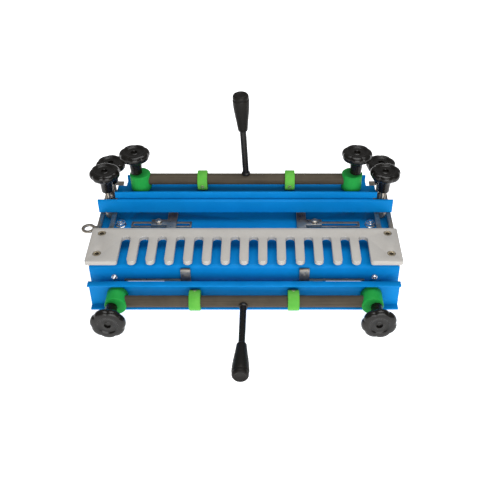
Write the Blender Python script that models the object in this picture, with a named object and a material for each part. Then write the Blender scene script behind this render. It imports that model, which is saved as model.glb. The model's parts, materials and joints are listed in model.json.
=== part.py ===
"""Dovetail jig, 300 mm class: folded steel base, comb template on slotted brackets, two cam-lever clamps.

Jig coordinates, in millimetres: x along the template, y from the template's front edge towards the back,
z up from the template's top face. ORIGIN is the object's origin in jig coordinates.
"""

import math

import bmesh
import bpy
from mathutils import Matrix, Vector

MM = 0.001
ORIGIN = (-4.6591, 19.7125, -84.2)
GAP = 0.3

# Base: a folded steel saddle, open at both ends, with feet turned in at the bottom.
BASE_HALF = 187.6
BASE_FRONT = 13.5
BASE_BACK = 168.5
BASE_TOP = -18.2
BASE_FOOT = 26.0
BASE_WALL = 3.0
BEND = 4.0

# Template.
COMB_HALF = 188.0
COMB_DEPTH = 64.4
COMB_THICK = 5.5
COMB_PITCH = 22.225
COMB_SLOTS = 14
SLOT_WIDTH = 11.5
SLOT_DEPTH = 48.5
COMB_SCREW_Y = (15.5, 54.5)

# Brackets that carry the template, and the studs they slide on.
ARM_X = 175.6
ARM_WIDTH = 21.0
ARM_THICK = 3.0
ARM_BACK = 176.0
ARM_SLOT = (70.0, 170.5)
ARM_SLOT_WIDTH = 10.0
FRONT_STUD_Y = 115.2
BACK_STUD_Y = 155.0
FRONT_STUD_HUB = 21.0
BACK_STUD_HUB = 7.7
ARM_STUD_R = 3.3

# Clamp mechanism, in the clamp's own axes: u along the bar, v across it, w away from the work.
WEB_W = -15.0
SHEET = 2.2
LIP = 8.0
ROD_R = 7.1
CAM_R = 12.7
CAM_THROW = 2.0
BLOCK_R = 13.0
BLOCK_W = (-13.1, 9.4)
BLOCK_OFFSET = 4.3
STUD_R = 4.0
LEVER_LENGTH = 120.0
GRIP_START = 71.0
HEAD_THICK = 12.0
SMALL_KNOB = {"radius": 19.2, "height": 31.5, "bore": 24.0}
LARGE_KNOB = {"radius": 21.0, "height": 33.0, "bore": 26.0}
SPRING_R = 6.6
SPRING_WIRE = 0.75
SPRING_TURNS = 5

TOP_CLAMP = {"origin": (1.0, 126.0, 31.7), "stud": 138.6, "cam": 55.3, "cam_width": 12.4, "half": 165.6,
             "across": (-19.8, 19.8), "lean": 2.5, "lever": 0.2, "face": -49.9, "corner": (154.5, 7.0),
             "knob": SMALL_KNOB}
FRONT_CLAMP = {"origin": (0.0, -16.5, -48.2), "stud": 157.5, "cam": 59.0, "cam_width": 13.8, "half": 187.5,
               "across": (-20.8, 18.4), "lean": 0.6, "lever": -0.8, "face": -30.0, "corner": None,
               "knob": LARGE_KNOB}

# Pressure beam under the upper clamp channel.
BEAM_HALF = 187.5
BEAM_FRONT = 104.0
BEAM_BACK = 146.0
BEAM_Z = (-5.0, 14.1)
BEAM_NARROW = 162.0

# Side stops on their slotted rails.
RAIL_X = (69.0, 146.0)
RAIL_WIDTH = 11.0
RAIL_SLOT = 5.6
TOP_RAIL_Y = 94.0
FRONT_RAIL_Z = -43.5
FIN_WIDTH = 12.0
FIN_ENDS = {"top": (-26.0, 23.5), "front": (-23.5, 23.5)}
FOOT_LENGTH = 20.0
TOP_STOPS = (-94.0, 71.5)
FRONT_STOPS = (-71.0, 72.5)

COLOURS = {
    "blue_paint": ((0.010, 0.185, 0.560), 0.0, 0.35),
    "zinc_steel": ((0.600, 0.610, 0.620), 1.0, 0.32),
    "chrome": ((0.780, 0.790, 0.800), 1.0, 0.12),
    "cast_alloy": ((0.520, 0.500, 0.470), 1.0, 0.42),
    "dark_rod": ((0.070, 0.060, 0.052), 0.8, 0.42),
    "black_plastic": ((0.012, 0.012, 0.013), 0.0, 0.30),
    "green_plastic": ((0.040, 0.360, 0.070), 0.0, 0.38),
    "brass": ((0.640, 0.520, 0.260), 1.0, 0.35),
}


def clear_scene():
    for obj in list(bpy.data.objects):
        bpy.data.objects.remove(obj, do_unlink=True)


def make_collection(name):
    group = bpy.data.collections.new(name)
    bpy.context.scene.collection.children.link(group)
    return group


def make_materials():
    made = {}
    for name, (colour, metallic, roughness) in COLOURS.items():
        material = bpy.data.materials.new(name)
        material.use_nodes = True
        shader = material.node_tree.nodes["Principled BSDF"]
        shader.inputs["Base Color"].default_value = (*colour, 1.0)
        shader.inputs["Metallic"].default_value = metallic
        shader.inputs["Roughness"].default_value = roughness
        material.diffuse_color = (*colour, 1.0)
        made[name] = material
    return made


clear_scene()
JIG = make_collection("dovetail_jig")
CUTTERS = make_collection("cutters")
MATERIALS = make_materials()


def shift(point):
    """A point in jig millimetres as a position in the object's frame, in metres."""
    return Vector((point[i] - ORIGIN[i]) * MM for i in range(3))


def finish(name, bm, material, origin, frame, smooth):
    """Turns a mesh in local millimetres into a placed object."""
    bm.transform(Matrix.Scale(MM, 4))
    bmesh.ops.recalc_face_normals(bm, faces=bm.faces)
    mesh = bpy.data.meshes.new(name)
    bm.to_mesh(mesh)
    bm.free()
    obj = bpy.data.objects.new(name, mesh)
    if material is None:
        CUTTERS.objects.link(obj)
        obj.hide_render = True
        obj.display_type = "WIRE"
    else:
        JIG.objects.link(obj)
        mesh.materials.append(MATERIALS[material])
    for face in mesh.polygons:
        face.use_smooth = smooth
    obj.matrix_world = Matrix.Translation(shift(origin)) @ frame.to_4x4()
    return obj


UPRIGHT = Matrix.Identity(3)
FORWARD = Matrix(((1, 0, 0), (0, 0, -1), (0, 1, 0)))
ALONG = Matrix(((0, 0, 1), (1, 0, 0), (0, 1, 0)))


def add_lathe(bm, profile, segments, centre=(0.0, 0.0), frame=UPRIGHT, start=(0.0, 0.0, 0.0)):
    """Adds the closed body turned from a profile of (radius, height) that starts and ends on the axis."""
    rings = []
    for radius, height in profile:
        if radius < 1e-6:
            points = [Vector((centre[0], centre[1], height))]
        else:
            points = [
                Vector((centre[0] + radius * math.cos(math.tau * k / segments),
                        centre[1] + radius * math.sin(math.tau * k / segments), height))
                for k in range(segments)
            ]
        rings.append([bm.verts.new(frame @ p + Vector(start)) for p in points])
    join_rings(bm, rings)


def join_rings(bm, rings):
    for low, high in zip(rings, rings[1:]):
        count = max(len(low), len(high))
        for k in range(count):
            n = (k + 1) % count
            if len(low) == 1:
                bm.faces.new((low[0], high[n], high[k]))
            elif len(high) == 1:
                bm.faces.new((low[k], low[n], high[0]))
            else:
                bm.faces.new((low[k], low[n], high[n], high[k]))


def lathe(name, profile, material, origin, frame=UPRIGHT, segments=32):
    bm = bmesh.new()
    add_lathe(bm, profile, segments)
    return finish(name, bm, material, origin, frame, True)


def rod_profile(radius, low, high, chamfer=0.6):
    return [(0, low), (radius - chamfer, low), (radius, low + chamfer), (radius, high - chamfer),
            (radius - chamfer, high), (0, high)]


def add_prism(bm, outline, low, high, frame=UPRIGHT):
    """Adds the prism of a two-dimensional outline between two heights."""
    bottom = [bm.verts.new(frame @ Vector((x, y, low))) for x, y in outline]
    top = [bm.verts.new(frame @ Vector((x, y, high))) for x, y in outline]
    bm.faces.new(bottom)
    bm.faces.new(top)
    for k in range(len(outline)):
        n = (k + 1) % len(outline)
        bm.faces.new((bottom[k], bottom[n], top[n], top[k]))


def add_box(bm, low, high):
    add_prism(bm, [(low[0], low[1]), (high[0], low[1]), (high[0], high[1]), (low[0], high[1])], low[2], high[2])


def arc(cx, cy, radius, start, stop, steps):
    """Points on an arc, its angles in degrees."""
    return [
        (cx + radius * math.cos(math.radians(start + (stop - start) * k / steps)),
         cy + radius * math.sin(math.radians(start + (stop - start) * k / steps)))
        for k in range(steps + 1)
    ]


def stadium(x0, x1, y, width, steps=6):
    """Outline of a round-ended slot along x."""
    r = width / 2
    return arc(x1 - r, y, r, -90, 90, steps) + arc(x0 + r, y, r, 90, 270, steps)


def circle(x, y, radius, steps=20):
    return arc(x, y, radius, 0, 360 - 360 / steps, steps - 1)


def cut(target, cutter):
    modifier = target.modifiers.new(cutter.name, "BOOLEAN")
    modifier.operation = "DIFFERENCE"
    modifier.solver = "EXACT"
    modifier.object = cutter


def cutter_of(name, build, origin=(0, 0, 0), frame=UPRIGHT):
    bm = bmesh.new()
    build(bm)
    return finish(name, bm, None, origin, frame, False)


def channel_outline(across, depth, sheet, bend=2.6):
    """Outline of a U: web at height 0 to sheet, lips up to depth, half-width across."""
    inner = bend - sheet if bend > sheet else 0.2
    out = arc(-across + bend, bend, bend, 180, 270, 3) + arc(across - bend, bend, bend, 270, 360, 3)
    out += [(across, depth), (across - sheet, depth)]
    out += arc(across - sheet - inner, sheet + inner, inner, 0, -90, 2)
    out += arc(-across + sheet + inner, sheet + inner, inner, 270, 180, 2)
    out += [(-across + sheet, depth), (-across, depth)]
    return out


def base_outline():
    """Outline of the saddle in y and z."""
    front, back, top, wall = BASE_FRONT, BASE_BACK, BASE_TOP, BASE_WALL
    floor, inner = ORIGIN[2], BEND - BASE_WALL
    out = [(front + BASE_FOOT, floor)]
    out += arc(front + BEND, floor + BEND, BEND, 270, 180, 3)
    out += arc(front + BEND, top - BEND, BEND, 180, 90, 3)
    out += arc(back - BEND, top - BEND, BEND, 90, 0, 3)
    out += arc(back - BEND, floor + BEND, BEND, 0, -90, 3)
    out += [(back - BASE_FOOT, floor), (back - BASE_FOOT, floor + wall)]
    out += arc(back - wall - inner, floor + wall + inner, inner, -90, 0, 2)
    out += arc(back - wall - inner, top - wall - inner, inner, 0, 90, 2)
    out += arc(front + wall + inner, top - wall - inner, inner, 90, 180, 2)
    out += arc(front + wall + inner, floor + wall + inner, inner, 180, 270, 2)
    out += [(front + BASE_FOOT, floor + wall)]
    return out


def make_base():
    bm = bmesh.new()
    add_prism(bm, base_outline(), -BASE_HALF, BASE_HALF, ALONG)
    base = finish("base_frame", bm, "blue_paint", (0, 0, 0), UPRIGHT, False)

    def top_holes(bm):
        low, high = BASE_TOP - 8, BASE_TOP + 6
        for side in (-1, 1):
            add_prism(bm, circle(TOP_CLAMP["origin"][0] + side * TOP_CLAMP["stud"], TOP_CLAMP["origin"][1],
                                 STUD_R + 0.5), low, high)
            for y in (FRONT_STUD_Y, BACK_STUD_Y):
                add_prism(bm, circle(side * ARM_X, y, ARM_STUD_R + 0.5), low, high)
            x = sorted((side * (RAIL_X[0] + 2), side * (RAIL_X[1] - 2)))
            add_prism(bm, stadium(x[0], x[1], TOP_RAIL_Y, RAIL_SLOT), low, high)

    def front_holes(bm):
        low, high = -BASE_FRONT - 8, -BASE_FRONT + 6
        for side in (-1, 1):
            add_prism(bm, circle(side * FRONT_CLAMP["stud"], FRONT_CLAMP["origin"][2], STUD_R + 0.5), low, high)
            x = sorted((side * (RAIL_X[0] + 2), side * (RAIL_X[1] - 2)))
            add_prism(bm, stadium(x[0], x[1], FRONT_RAIL_Z, RAIL_SLOT), low, high)

    def foot_holes(bm):
        for side in (-1, 1):
            for y in (BASE_FRONT + 16, BASE_BACK - 16):
                add_prism(bm, circle(side * 150, y, 3.3), ORIGIN[2] - 4, ORIGIN[2] + 8)

    cut(base, cutter_of("cut_base_top", top_holes))
    cut(base, cutter_of("cut_base_front", front_holes, frame=FORWARD))
    cut(base, cutter_of("cut_base_feet", foot_holes))


def make_hex(name, x, y):
    """Chrome nut with a domed stud end and a washer, on the base's top."""
    bm = bmesh.new()
    low = BASE_TOP + GAP
    add_lathe(bm, [(0, low), (6.8, low), (6.8, low + 1.2), (5.9, low + 1.6), (6.1, low + 4.6), (5.2, low + 5.4),
                   (3.2, low + 5.6), (2.6, low + 7.2), (0, low + 7.8)], 12, centre=(x, y))
    finish(name, bm, "chrome", (0, 0, 0), UPRIGHT, True)


def make_face_screw(name, x, z):
    lathe(name, [(0, GAP), (3.9, GAP), (3.9, 0.9), (3.3, 2.0), (2.0, 2.8), (0, 3.0)], "chrome",
          (x, BASE_FRONT, z), FORWARD, 20)


def make_arm_stud(name, x, y, hub):
    """Stud that carries a bracket: head inside the base, shoulder under the bracket, shank up into the knob."""
    low = BASE_TOP - BASE_WALL - GAP - 3.5
    shoulder = -COMB_THICK - GAP - ARM_THICK - GAP
    plate = BASE_TOP + GAP
    r = ARM_STUD_R
    tip = hub + SMALL_KNOB["bore"] - 0.6
    profile = [(0, low), (5.5, low), (5.5, low + 3.5), (r, low + 3.5), (r, plate), (6.2, plate), (6.2, shoulder),
               (r, shoulder), (r, tip - 0.6), (r - 0.6, tip), (0, tip)]
    lathe(name, profile, "zinc_steel", (x, y, 0), UPRIGHT, 20)


def comb_outline():
    """Plate outline, its fingers round at the tip and its slots round at the back."""
    half, back = COMB_HALF, COMB_DEPTH
    slot_r, tip_r = SLOT_WIDTH / 2, (COMB_PITCH - SLOT_WIDTH) / 2
    first = -(COMB_SLOTS - 1) / 2 * COMB_PITCH
    out = arc(-half + 2, back - 2, 2, 90, 180, 2) + arc(-half + 2, 2, 2, 180, 270, 2)
    for k in range(COMB_SLOTS):
        x = first + k * COMB_PITCH
        if k == 0:
            out += arc(x - slot_r - 3, 3, 3, 270, 360, 3)
        else:
            out += arc(x - slot_r - tip_r, tip_r, tip_r, 180, 360, 6)
        out += arc(x, SLOT_DEPTH - slot_r, slot_r, 180, 0, 6)
    out += arc(x + slot_r + 3, 3, 3, 180, 270, 3)
    out += arc(half - 2, 2, 2, 270, 360, 2) + arc(half - 2, back - 2, 2, 0, 90, 2)
    return out


def screw_places():
    for side, label in ((-1, "left"), (1, "right")):
        for y, end in zip(COMB_SCREW_Y, ("front", "back")):
            yield f"template_screw_{label}_{end}", side * ARM_X, y


def make_template():
    bm = bmesh.new()
    add_prism(bm, comb_outline(), -COMB_THICK, 0)
    comb = finish("template_comb", bm, "cast_alloy", (0, 0, 0), UPRIGHT, False)

    def screw_holes(bm):
        for _, x, y in screw_places():
            add_lathe(bm, [(0, -9), (2.5, -9), (2.5, -3), (5.2, -3), (5.2, 2), (0, 2)], 20, centre=(x, y))

    cut(comb, cutter_of("cut_comb_screws", screw_holes))
    for name, x, y in screw_places():
        tail = -COMB_THICK - ARM_THICK - 2
        lathe(name, [(0, tail), (2.1, tail), (2.1, -2.7), (4.7, -2.7), (4.7, -1.2), (3.6, -0.4), (0, -0.4)],
              "brass", (x, y, 0), UPRIGHT, 20)


def make_arm(name, side):
    """Slotted bracket arm with its outer edge turned down."""
    top = -COMB_THICK - GAP
    low = top - ARM_THICK
    inner, outer = ARM_X - ARM_WIDTH / 2, ARM_X + ARM_WIDTH / 2
    outline = [(side * inner, top), (side * inner, low), (side * (outer - 2), low), (side * (outer - 2), low - 5),
               (side * outer, low - 5), (side * outer, top)]
    bm = bmesh.new()
    add_prism(bm, outline, -ARM_BACK, -8.0, FORWARD)
    arm = finish(name, bm, "zinc_steel", (0, 0, 0), UPRIGHT, False)

    def holes(bm):
        for y in COMB_SCREW_Y:
            add_prism(bm, circle(side * ARM_X, y, 2.5), low - 4, top + 4)
        turned = Matrix(((0, -1, 0), (1, 0, 0), (0, 0, 1)))
        slot = stadium(ARM_SLOT[0], ARM_SLOT[1], -side * ARM_X, ARM_SLOT_WIDTH)
        add_prism(bm, slot, low - 4, top + 4, turned)

    cut(arm, cutter_of("cut_" + name, holes))


def make_eye_tab():
    """Flat lug with a hole, on the outer leg of the left bracket."""
    low, x, y = -COMB_THICK, -195.2, 69.5
    outline = [(-181.5, y - 4.5), (-181.5, y + 4.5)] + arc(x, y, 8.8, 32, 328, 18)
    bm = bmesh.new()
    add_prism(bm, outline, low, low + 2.0)
    tab = finish("eye_tab", bm, "zinc_steel", (0, 0, 0), UPRIGHT, False)
    cut(tab, cutter_of("cut_eye", lambda bm: add_prism(bm, circle(x, y, 4.9, 20), low - 3, low + 5)))


def lobed_ring(radius, valley, lobes=7, per_lobe=6):
    """Points round a star knob: full radius at each lobe, less by valley between them."""
    count = lobes * per_lobe
    points = []
    for k in range(count):
        swing = abs(math.cos(math.pi * k / per_lobe))
        r = radius - valley * (1 - swing) ** 1.4
        points.append((r * math.cos(math.tau * k / count), r * math.sin(math.tau * k / count)))
    return points


def make_knob(name, origin, frame, size, bore_r, turn=0.0):
    """Star knob standing on its hub, with a blind bore for the stud."""
    radius, height = size["radius"], size["height"]
    under = height - HEAD_THICK
    sections = [(bore_r, 0, size["bore"]), (bore_r, 0, 0), (7.0, 0, 0), (8.0, 0, under - 6), (9.0, 0.2, under - 2),
                (radius - 5.0, 0.8, under), (radius - 1.2, 1.3, under + 2.6), (radius, 1.4, under + 5.4),
                (radius, 1.4, height - 3.4), (radius - 2.4, 1.0, height - 0.6), (11.5, 0.2, height),
                (9.0, 0, height - 1.8)]
    bm = bmesh.new()
    rings = [[bm.verts.new((0, 0, size["bore"]))]]
    for ring, valley, level in sections:
        rings.append([bm.verts.new((x, y, level)) for x, y in lobed_ring(ring, valley)])
    rings.append([bm.verts.new((0, 0, height - 1.8))])
    join_rings(bm, rings)
    bmesh.ops.rotate(bm, verts=bm.verts, cent=(0, 0, 0), matrix=Matrix.Rotation(math.radians(turn), 3, "Z"))
    finish(name, bm, "black_plastic", origin, frame, True)


def place(clamp, frame, u, v, w):
    """A point in a clamp's own axes as jig coordinates."""
    return tuple(Vector(clamp["origin"]) + frame @ Vector((u, v, w)))


def make_channel(name, clamp, frame):
    bm = bmesh.new()
    lay = Matrix(((0, 0, 1), (1, 0, 0), (0, 1, 0)))
    low, high = clamp["across"]
    add_prism(bm, channel_outline((high - low) / 2, SHEET + LIP, SHEET), -clamp["half"], clamp["half"], lay)
    bmesh.ops.translate(bm, verts=bm.verts, vec=(0, (high + low) / 2, WEB_W - SHEET))
    channel = finish(name, bm, "blue_paint", clamp["origin"], frame, False)

    def holes(bm):
        for side in (-1, 1):
            add_prism(bm, circle(side * clamp["stud"], 0, STUD_R + 0.6), WEB_W - 6, WEB_W + 4)
            if clamp["corner"]:
                x = sorted((side * clamp["corner"][0], side * (clamp["half"] + 4)))
                add_box(bm, (x[0], clamp["corner"][1], WEB_W - 6), (x[1], clamp["across"][1] + 4, WEB_W + LIP + 6))

    cut(channel, cutter_of("cut_" + name, holes, clamp["origin"], frame))


def make_blocks(prefix, clamp, frame):
    """Green pivot blocks: the stud passes down through each, and the rod's end turns in its side."""
    for side, label in ((-1, "left"), (1, "right")):
        centre = side * (clamp["stud"] - BLOCK_OFFSET)
        bm = bmesh.new()
        low, high = BLOCK_W
        add_lathe(bm, [(0, low), (BLOCK_R - 1, low), (BLOCK_R, low + 1), (BLOCK_R, high - 1.2), (BLOCK_R - 1.2, high),
                       (0, high)], 32, centre=(centre, 0))
        block = finish(f"{prefix}_block_{label}", bm, "green_plastic", clamp["origin"], frame, True)

        def bores(bm):
            add_prism(bm, circle(side * clamp["stud"], 0, STUD_R + 0.4), low - 4, high + 4)
            inner, outer = side * (centre * side - 20), side * (clamp["stud"] - STUD_R - 1.6)
            ends = sorted((inner, outer))
            add_prism(bm, circle(0, 0, ROD_R + 0.3, 24), ends[0], ends[1], ALONG)

        cut(block, cutter_of(f"cut_{prefix}_block_{label}", bores, clamp["origin"], frame))


def make_cam_shaft(prefix, clamp, frame):
    """Rod, its two eccentric collars, and the lever with its grip."""
    end = clamp["stud"] - STUD_R - 2.2
    lathe(f"{prefix}_cam_rod", rod_profile(ROD_R, -end, end), "dark_rod", clamp["origin"], frame @ ALONG, 28)
    for side, label in ((-1, "left"), (1, "right")):
        make_cam(f"{prefix}_cam_{label}", side * clamp["cam"], clamp, frame)
    tilt = frame @ Matrix.Rotation(math.radians(-clamp["lean"]), 3, "Y")
    foot = place(clamp, frame, clamp["lever"], 0, 0)
    start = ROD_R + GAP
    shaft = [(0, start), (5.3, start), (5.3, start + 3.4), (STUD_R, start + 4), (STUD_R, GRIP_START + 20.4),
             (STUD_R - 0.8, GRIP_START + 21), (0, GRIP_START + 21)]
    lathe(f"{prefix}_lever", shaft, "black_plastic", foot, tilt, 20)
    grip = [(0, GRIP_START + 21.5), (STUD_R + 0.3, GRIP_START + 21.5), (STUD_R + 0.3, GRIP_START), (5.4, GRIP_START),
            (6.1, GRIP_START + 1.0), (6.8, GRIP_START + 8), (8.2, GRIP_START + 19), (9.5, GRIP_START + 31),
            (10.0, GRIP_START + 38), (9.8, LEVER_LENGTH - 5), (9.2, LEVER_LENGTH - 2), (7.8, LEVER_LENGTH),
            (0, LEVER_LENGTH)]
    lathe(f"{prefix}_lever_grip", grip, "black_plastic", foot, tilt, 28)


def make_cam(name, u, clamp, frame):
    """Round collar bored off centre, so that it pushes the web away as it turns."""
    bm = bmesh.new()
    count, half = 32, clamp["cam_width"] / 2
    rings = []
    for radius, drop, h in ((ROD_R + GAP, 0, -half), (CAM_R - 0.8, CAM_THROW, -half), (CAM_R, CAM_THROW, -half + 0.8),
                            (CAM_R, CAM_THROW, half - 0.8), (CAM_R - 0.8, CAM_THROW, half), (ROD_R + GAP, 0, half)):
        rings.append([
            bm.verts.new(ALONG @ Vector((radius * math.cos(math.tau * k / count),
                                         radius * math.sin(math.tau * k / count) - drop, h)))
            for k in range(count)
        ])
    join_rings(bm, rings + rings[:1])
    bmesh.ops.translate(bm, verts=bm.verts, vec=(u, 0, 0))
    finish(name, bm, "green_plastic", clamp["origin"], frame, True)


def make_clamp_studs(prefix, clamp, frame):
    low = clamp["face"] - BASE_WALL - GAP - 4
    tip = BLOCK_W[1] + GAP + clamp["knob"]["bore"] - 0.5
    for side, label in ((-1, "left"), (1, "right")):
        profile = [(0, low), (7, low), (7, low + 4), (STUD_R, low + 4), (STUD_R, tip - 0.6), (STUD_R - 0.6, tip), (0, tip)]
        where = place(clamp, frame, side * clamp["stud"], 0, 0)
        lathe(f"{prefix}_stud_{label}", profile, "zinc_steel", where, frame, 20)


def make_spring(name, clamp, frame, u, low, high):
    """Return spring round a stud, between the base and the bar."""
    curve = bpy.data.curves.new(name, "CURVE")
    curve.dimensions = "3D"
    curve.bevel_depth = SPRING_WIRE * MM
    curve.bevel_resolution = 2
    curve.use_fill_caps = True
    steps = 10 * SPRING_TURNS
    spline = curve.splines.new("POLY")
    spline.points.add(steps)
    low, high = low + SPRING_WIRE, high - SPRING_WIRE
    for k, point in enumerate(spline.points):
        angle = math.tau * k / 10
        w = low + (high - low) * k / steps
        point.co = (SPRING_R * math.cos(angle) * MM, SPRING_R * math.sin(angle) * MM, w * MM, 1)
    obj = bpy.data.objects.new(name, curve)
    JIG.objects.link(obj)
    curve.materials.append(MATERIALS["zinc_steel"])
    obj.matrix_world = Matrix.Translation(shift(place(clamp, frame, u, 0, 0))) @ frame.to_4x4()


def make_clamp(prefix, clamp, frame, spring_top, turns):
    make_channel(f"{prefix}_channel", clamp, frame)
    make_blocks(prefix, clamp, frame)
    make_cam_shaft(prefix, clamp, frame)
    make_clamp_studs(prefix, clamp, frame)
    for side, label, turn in ((-1, "left", turns[0]), (1, "right", turns[1])):
        u = side * clamp["stud"]
        make_knob(f"{prefix}_knob_{label}", place(clamp, frame, u, 0, BLOCK_W[1] + GAP), frame, clamp["knob"],
                  STUD_R + 0.35, turn)
        make_spring(f"{prefix}_spring_{label}", clamp, frame, u, clamp["face"] + GAP, spring_top)


def make_pressure_beam():
    """Beam under the upper channel: its front face runs the full width, and the rest stops short of the studs."""
    bm = bmesh.new()
    depth = (BEAM_BACK - BEAM_FRONT) / 2
    middle = (BEAM_BACK + BEAM_FRONT) / 2
    outline = [(middle + y, BEAM_Z[1] - z) for y, z in channel_outline(depth, BEAM_Z[1] - BEAM_Z[0], SHEET)]
    add_prism(bm, outline, -BEAM_HALF, BEAM_HALF, ALONG)
    beam = finish("top_pressure_beam", bm, "blue_paint", (0, 0, 0), UPRIGHT, False)

    def ends(bm):
        for side in (-1, 1):
            x = sorted((side * BEAM_NARROW, side * (BEAM_HALF + 4)))
            add_box(bm, (x[0], BEAM_FRONT + SHEET, BEAM_Z[0] - 4), (x[1], BEAM_BACK + 4, BEAM_Z[1] + 4))
            add_prism(bm, circle(TOP_CLAMP["origin"][0] + side * TOP_CLAMP["stud"], TOP_CLAMP["origin"][1],
                                 STUD_R + 0.6), BEAM_Z[1] - 6, BEAM_Z[1] + 4)

    def corners(bm):
        behind = TOP_CLAMP["origin"][1] + TOP_CLAMP["corner"][1]
        for side in (-1, 1):
            x = sorted((side * TOP_CLAMP["corner"][0], side * (BEAM_HALF + 8)))
            add_box(bm, (x[0], behind, BEAM_Z[0] - 5), (x[1], BEAM_BACK + 5, BEAM_Z[1] + 5))

    cut(beam, cutter_of("cut_beam", ends))
    cut(beam, cutter_of("cut_beam_corners", corners))


def make_stop(name, rail_name, fin, ends, side, frame, origin):
    """Slotted rail on the base, and the stop that slides on it: a flat strip with a screwed foot."""
    low = GAP
    bm = bmesh.new()
    x = sorted((side * RAIL_X[0], side * RAIL_X[1]))
    add_box(bm, (x[0], -RAIL_WIDTH / 2, low), (x[1], RAIL_WIDTH / 2, low + 1.5))
    rail = finish(rail_name, bm, "zinc_steel", origin, frame, False)
    slot = stadium(x[0] + 2, x[1] - 2, 0, RAIL_SLOT)
    cut(rail, cutter_of("cut_" + rail_name, lambda bm: add_prism(bm, slot, -3, 6), origin, frame))

    bm = bmesh.new()
    low = low + 1.5 + GAP
    foot = side * (FIN_WIDTH / 2 + FOOT_LENGTH)
    edge = side * FIN_WIDTH / 2
    outline = [(-edge, ends[0]), (edge, ends[0]), (edge, -5.5), (foot, -5.5), (foot, 5.5), (edge, 5.5),
               (edge, ends[1]), (-edge, ends[1])]
    add_prism(bm, outline, low, low + 3.0)
    stop = finish(name, bm, "zinc_steel", (origin[0] + fin, origin[1], origin[2]), frame, False)
    centre = side * (FIN_WIDTH / 2 + 11)
    bm = bmesh.new()
    tail = -BASE_WALL - 5
    add_lathe(bm, [(0, tail), (2.3, tail), (2.3, low + 2.4), (4.6, low + 2.4), (4.6, low + 5.2), (3.6, low + 6),
                   (0, low + 6.2)], 16, centre=(centre, 0))
    screw = finish("cut_" + name + "_screw", bm, None, (origin[0] + fin, origin[1], origin[2]), frame, False)
    modifier = stop.modifiers.new("screw", "BOOLEAN")
    modifier.operation = "UNION"
    modifier.solver = "EXACT"
    modifier.object = screw


def make_stops():
    sets = (("top", TOP_STOPS, UPRIGHT, (0, TOP_RAIL_Y, BASE_TOP)),
            ("front", FRONT_STOPS, FORWARD, (0, BASE_FRONT, FRONT_RAIL_Z)))
    for prefix, fins, frame, origin in sets:
        for side, label, fin in ((-1, "left", fins[0]), (1, "right", fins[1])):
            make_stop(f"{prefix}_stop_{label}", f"{prefix}_rail_{label}", fin, FIN_ENDS[prefix], side, frame, origin)


def main():
    make_base()
    make_template()
    make_eye_tab()
    for side, label in ((-1, "left"), (1, "right")):
        make_hex(f"base_nut_{label}", side * 159.5, 94.0)
        make_face_screw(f"face_screw_{label}", side * 158.0, -34.5)
        make_arm(f"template_arm_{label}", side)
        for y, hub, end in ((FRONT_STUD_Y, FRONT_STUD_HUB, "front"), (BACK_STUD_Y, BACK_STUD_HUB, "back")):
            make_arm_stud(f"arm_stud_{label}_{end}", side * ARM_X, y, hub)
            make_knob(f"arm_knob_{label}_{end}", (side * ARM_X, y, hub), UPRIGHT, SMALL_KNOB,
                      ARM_STUD_R + 0.35, 12 * side)
    make_pressure_beam()
    make_clamp("top", TOP_CLAMP, UPRIGHT, BEAM_Z[1] - SHEET - TOP_CLAMP["origin"][2] - GAP, (20, 5))
    make_clamp("front", FRONT_CLAMP, FORWARD, WEB_W - SHEET - GAP, (10, 32))
    make_stops()


main()
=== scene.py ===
"""Looks for the dovetail jig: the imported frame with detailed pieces, finishes, stage and camera."""

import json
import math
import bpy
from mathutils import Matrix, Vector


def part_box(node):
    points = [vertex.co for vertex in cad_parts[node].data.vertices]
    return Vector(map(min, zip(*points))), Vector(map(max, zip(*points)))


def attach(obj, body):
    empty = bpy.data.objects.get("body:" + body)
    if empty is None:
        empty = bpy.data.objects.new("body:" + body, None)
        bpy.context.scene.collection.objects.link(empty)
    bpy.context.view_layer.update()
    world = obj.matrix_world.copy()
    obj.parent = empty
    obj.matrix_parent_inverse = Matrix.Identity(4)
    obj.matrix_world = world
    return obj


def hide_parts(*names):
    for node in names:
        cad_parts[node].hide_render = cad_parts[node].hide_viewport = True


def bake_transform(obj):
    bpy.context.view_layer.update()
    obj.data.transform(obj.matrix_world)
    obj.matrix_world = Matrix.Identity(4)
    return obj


bl_info = {
    "name": "Dovetail Jig",
    "version": (1, 0, 0),
    "blender": (4, 5, 0),
    "location": "View3D > Sidebar > Dovetail Jig",
    "description": "Builds the dovetail jig's detailed pieces and finishes around its packed frame",
    "category": "Add Mesh",
}

import bmesh
import bpy
from bpy.props import FloatProperty, FloatVectorProperty, IntProperty, PointerProperty
from mathutils import Matrix, Vector

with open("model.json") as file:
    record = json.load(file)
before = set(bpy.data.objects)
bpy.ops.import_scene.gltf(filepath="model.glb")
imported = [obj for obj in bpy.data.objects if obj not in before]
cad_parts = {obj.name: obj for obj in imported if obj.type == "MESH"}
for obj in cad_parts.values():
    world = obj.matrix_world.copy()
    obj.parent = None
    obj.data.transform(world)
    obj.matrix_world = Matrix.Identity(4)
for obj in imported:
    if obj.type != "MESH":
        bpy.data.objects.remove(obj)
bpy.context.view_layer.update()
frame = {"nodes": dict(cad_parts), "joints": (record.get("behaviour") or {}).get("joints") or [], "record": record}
NODES = frame["nodes"]
JOINTS = {joint["name"]: joint for joint in frame["joints"]}
BODY = {node: body for body, nodes in frame["record"]["behaviour"]["bodies"].items() for node in nodes}

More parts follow.
